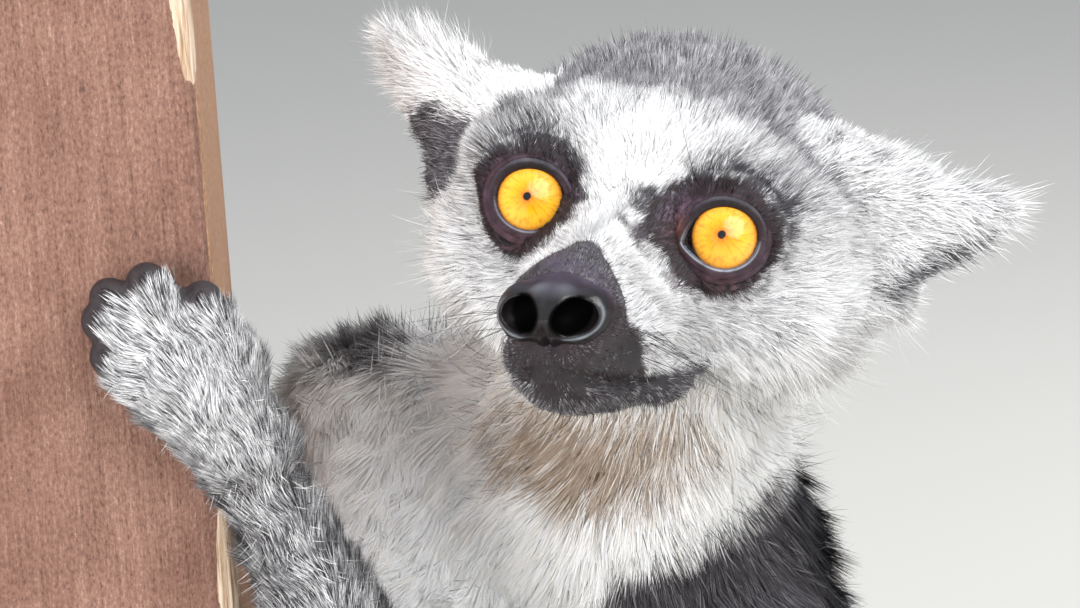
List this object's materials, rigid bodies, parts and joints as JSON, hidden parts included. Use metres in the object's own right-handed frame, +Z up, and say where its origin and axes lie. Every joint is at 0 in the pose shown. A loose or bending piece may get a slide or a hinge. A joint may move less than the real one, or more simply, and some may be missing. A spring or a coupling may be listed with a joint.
{
  "type": "ring-tailed lemur model",
  "caption": "Life-size ring-tailed lemur sitting upright, one hand on a short timber post, tail curled round its feet, on a flat display base with rods to the post.",
  "frame": {"origin": "centre of the stand base's underside", "axes": "+Z up; the lemur faces -Y, and its left side is +X"},
  "size_m": [0.32, 0.36, 0.374],
  "materials": {
    "white_coat": "soft fur",
    "grey_coat": "soft fur",
    "ringed_coat": "soft fur",
    "nose_leather": "moist",
    "eye_amber": "gloss",
    "stained_timber": "satin stain",
    "oak_board": "satin",
    "brushed_steel": "brushed"
  },
  "bodies": {
    "root": {"head": "white_coat", "nose": "nose_leather", "eye_left": "eye_amber", "eye_right": "eye_amber", "ear_left": "white_coat", "ear_right": "white_coat", "neck": "white_coat", "chest": "white_coat", "abdomen": "white_coat", "rump": "grey_coat", "upper_arm_left": "grey_coat", "forearm_left": "grey_coat", "hand_left": "grey_coat", "upper_arm_right": "grey_coat", "forearm_right": "grey_coat", "hand_right": "grey_coat", "thigh_left": "grey_coat", "shin_left": "grey_coat", "foot_left": "grey_coat", "thigh_right": "grey_coat", "shin_right": "grey_coat", "foot_right": "grey_coat", "tail_1": "ringed_coat", "tail_2": "ringed_coat", "tail_3": "ringed_coat", "tail_4": "ringed_coat", "tail_5": "ringed_coat", "tail_6": "ringed_coat", "perch_post": "stained_timber", "stand_base": "oak_board", "stand_rod_1": "brushed_steel", "stand_rod_2": "brushed_steel"}
  },
  "joints": []
}
